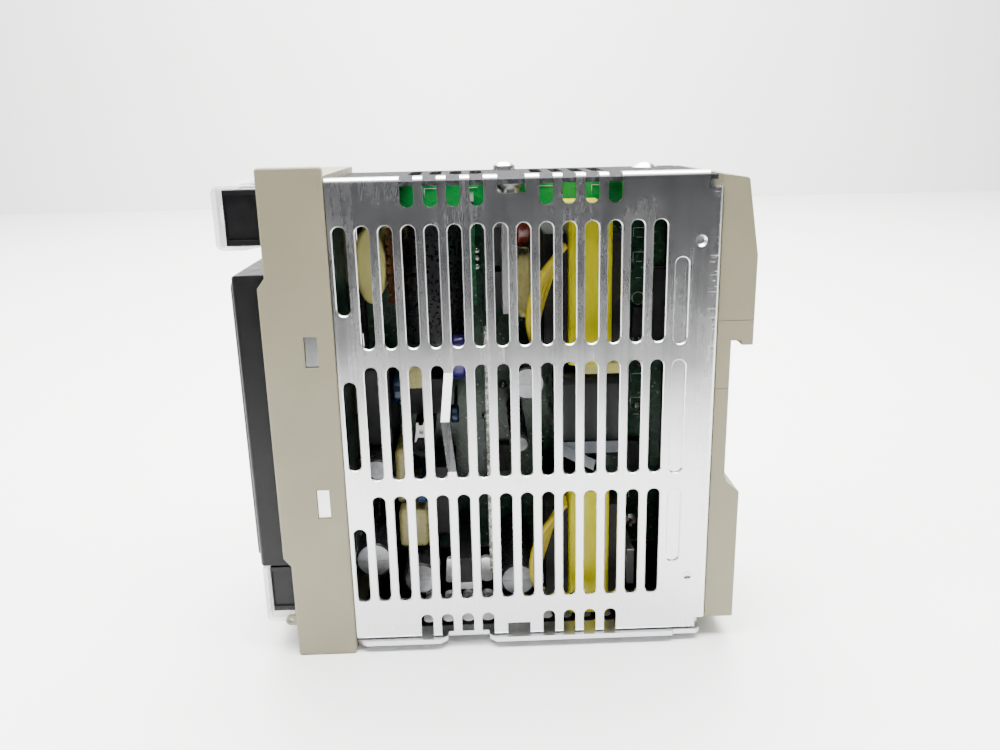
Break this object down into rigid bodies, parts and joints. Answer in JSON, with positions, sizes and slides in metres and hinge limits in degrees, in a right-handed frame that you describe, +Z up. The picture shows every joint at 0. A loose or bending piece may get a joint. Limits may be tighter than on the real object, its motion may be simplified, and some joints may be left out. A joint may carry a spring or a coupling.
{
  "type": "din rail power supply",
  "caption": "Slim ventilated metal-cased power supply for rail mounting, with display, keys, covered screw terminals and a sprung rail stopper.",
  "frame": {"origin": "middle of the underside of the bounding box", "axes": "+Z up as mounted, +Y towards the rail, -Y the front with the terminals, +X the ventilated side panel"},
  "size_m": [0.05, 0.1188, 0.117],
  "materials": {
    "beige_plastic": "fine moulded texture",
    "aluminium_sheet": "brushed",
    "zinc_screw": "bright plated",
    "black_plastic": "fine moulded texture",
    "face_film": "satin film",
    "clear_cover": "clear",
    "tinted_window": "clear tinted",
    "display_body": "matt",
    "key_plastic": "matt",
    "lens": "translucent",
    "trimmer_blue": "matt",
    "trimmer_rotor": "matt",
    "board_green": "solder resist",
    "insulation_film": "thin film",
    "steel": "plated",
    "brass_nickel": "nickel plated",
    "ferrite": "matt",
    "yellow_tape": "smooth tape",
    "pale_bobbin": "matt",
    "slate_tape": "satin tape",
    "cream_plastic": "matt",
    "copper_wire": "enamelled",
    "can_sleeve": "shrink sleeve",
    "can_top": "plain",
    "film_cap": "dipped",
    "maroon_disc": "dipped",
    "blue_disc": "dipped",
    "heatsink": "plain",
    "epoxy_black": "moulded",
    "grey_tape": "satin tape",
    "nylon_white": "matt",
    "yellow_sleeve": "sleeve"
  },
  "bodies": {
    "case": {"front_bezel": "beige_plastic", "rear_mount": "beige_plastic", "side_panel": "aluminium_sheet", "chassis": "aluminium_sheet", "case_screws": "zinc_screw", "case_rivet": "zinc_screw", "stopper_spring": "steel", "front_panel": "black_plastic", "face_plate": "face_film", "display_window": "tinted_window", "display_module": "display_body", "key_switches": "epoxy_black", "indicator_lenses": "lens", "trimmer_body": "trimmer_blue", "control_board": "board_green", "terminal_board": "board_green", "upper_terminal_block": "black_plastic", "lower_terminal_block": "black_plastic", "terminal_clamps": "brass_nickel", "terminal_pins": "brass_nickel", "main_board": "board_green", "insulation_sheet": "insulation_film", "board_standoffs": "brass_nickel", "board_screws": "zinc_screw", "transformer_cores": "ferrite", "transformer_windings": "yellow_tape", "winding_end": "pale_bobbin", "taped_choke": "slate_tape", "line_choke_bobbin": "cream_plastic", "line_choke_winding": "copper_wire", "capacitor_sleeves": "can_sleeve", "capacitor_tops": "can_top", "film_capacitors": "film_cap", "thermistor": "maroon_disc", "disc_capacitors": "blue_disc", "bulk_capacitor": "can_sleeve", "choke_tape": "grey_tape", "daughter_board": "board_green", "driver_board": "board_green", "heatsinks": "heatsink", "power_transistors": "epoxy_black", "bridge_rectifier": "epoxy_black", "small_chips": "epoxy_black", "nylon_clip": "nylon_white", "ring_inductor": "ferrite", "winding_leads": "yellow_sleeve"},
    "stopper": {"rail_stopper": "beige_plastic"},
    "upper_cover": {"upper_terminal_cover": "clear_cover"},
    "lower_cover": {"lower_terminal_cover": "clear_cover"},
    "trimmer": {"voltage_trimmer": "trimmer_rotor"},
    "mode_key": {"mode_key": "key_plastic"},
    "down_key": {"down_key": "key_plastic"},
    "up_key": {"up_key": "key_plastic"},
    "output_screw_1": {"output_screw_1": "zinc_screw"},
    "output_screw_2": {"output_screw_2": "zinc_screw"},
    "output_screw_3": {"output_screw_3": "zinc_screw"},
    "output_screw_4": {"output_screw_4": "zinc_screw"},
    "input_screw_1": {"input_screw_1": "zinc_screw"},
    "input_screw_2": {"input_screw_2": "zinc_screw"},
    "input_screw_3": {"input_screw_3": "zinc_screw"}
  },
  "joints": [
    {"name": "stopper_slide", "type": "slide", "parent": "case", "child": "stopper", "axis": [0, 0, -1], "range_m": [0, 0.005], "stiffness_N_per_m": 800, "springref_m": -0.004, "deforming": ["stopper_spring"]},
    {"name": "upper_cover_pull", "type": "slide", "parent": "case", "child": "upper_cover", "axis": [0, -1, 0], "range_m": [0, 0.012]},
    {"name": "lower_cover_hinge", "type": "hinge", "parent": "case", "child": "lower_cover", "pos_m": [0, -0.0507, 0.0093], "axis": [1, 0, 0], "range_deg": [0, 90]},
    {"name": "trimmer_turn", "type": "hinge", "parent": "case", "child": "trimmer", "pos_m": [0, -0.0546, 0.042], "axis": [0, 1, 0], "range_deg": [-135, 135]},
    {"name": "mode_key_press", "type": "slide", "parent": "case", "child": "mode_key", "axis": [0, 1, 0], "range_m": [0, 0.0005], "stiffness_N_per_m": 400, "springref_m": -0.0005},
    {"name": "down_key_press", "type": "slide", "parent": "case", "child": "down_key", "axis": [0, 1, 0], "range_m": [0, 0.0005], "stiffness_N_per_m": 400, "springref_m": -0.0005},
    {"name": "up_key_press", "type": "slide", "parent": "case", "child": "up_key", "axis": [0, 1, 0], "range_m": [0, 0.0005], "stiffness_N_per_m": 400, "springref_m": -0.0005},
    {"name": "output_screw_1_turn", "type": "hinge", "parent": "case", "child": "output_screw_1", "pos_m": [-0.0144, -0.0525, 0.1066], "axis": [0, 1, 0], "continuous": true},
    {"name": "output_screw_2_turn", "type": "hinge", "parent": "case", "child": "output_screw_2", "pos_m": [-0.0048, -0.0525, 0.1066], "axis": [0, 1, 0], "continuous": true},
    {"name": "output_screw_3_turn", "type": "hinge", "parent": "case", "child": "output_screw_3", "pos_m": [0.0048, -0.0525, 0.1066], "axis": [0, 1, 0], "continuous": true},
    {"name": "output_screw_4_turn", "type": "hinge", "parent": "case", "child": "output_screw_4", "pos_m": [0.0144, -0.0525, 0.1066], "axis": [0, 1, 0], "continuous": true},
    {"name": "input_screw_1_turn", "type": "hinge", "parent": "case", "child": "input_screw_1", "pos_m": [-0.013, -0.0504, 0.0172], "axis": [0, 1, 0], "continuous": true},
    {"name": "input_screw_2_turn", "type": "hinge", "parent": "case", "child": "input_screw_2", "pos_m": [0, -0.0504, 0.0172], "axis": [0, 1, 0], "continuous": true},
    {"name": "input_screw_3_turn", "type": "hinge", "parent": "case", "child": "input_screw_3", "pos_m": [0.013, -0.0504, 0.0172], "axis": [0, 1, 0], "continuous": true}
  ]
}
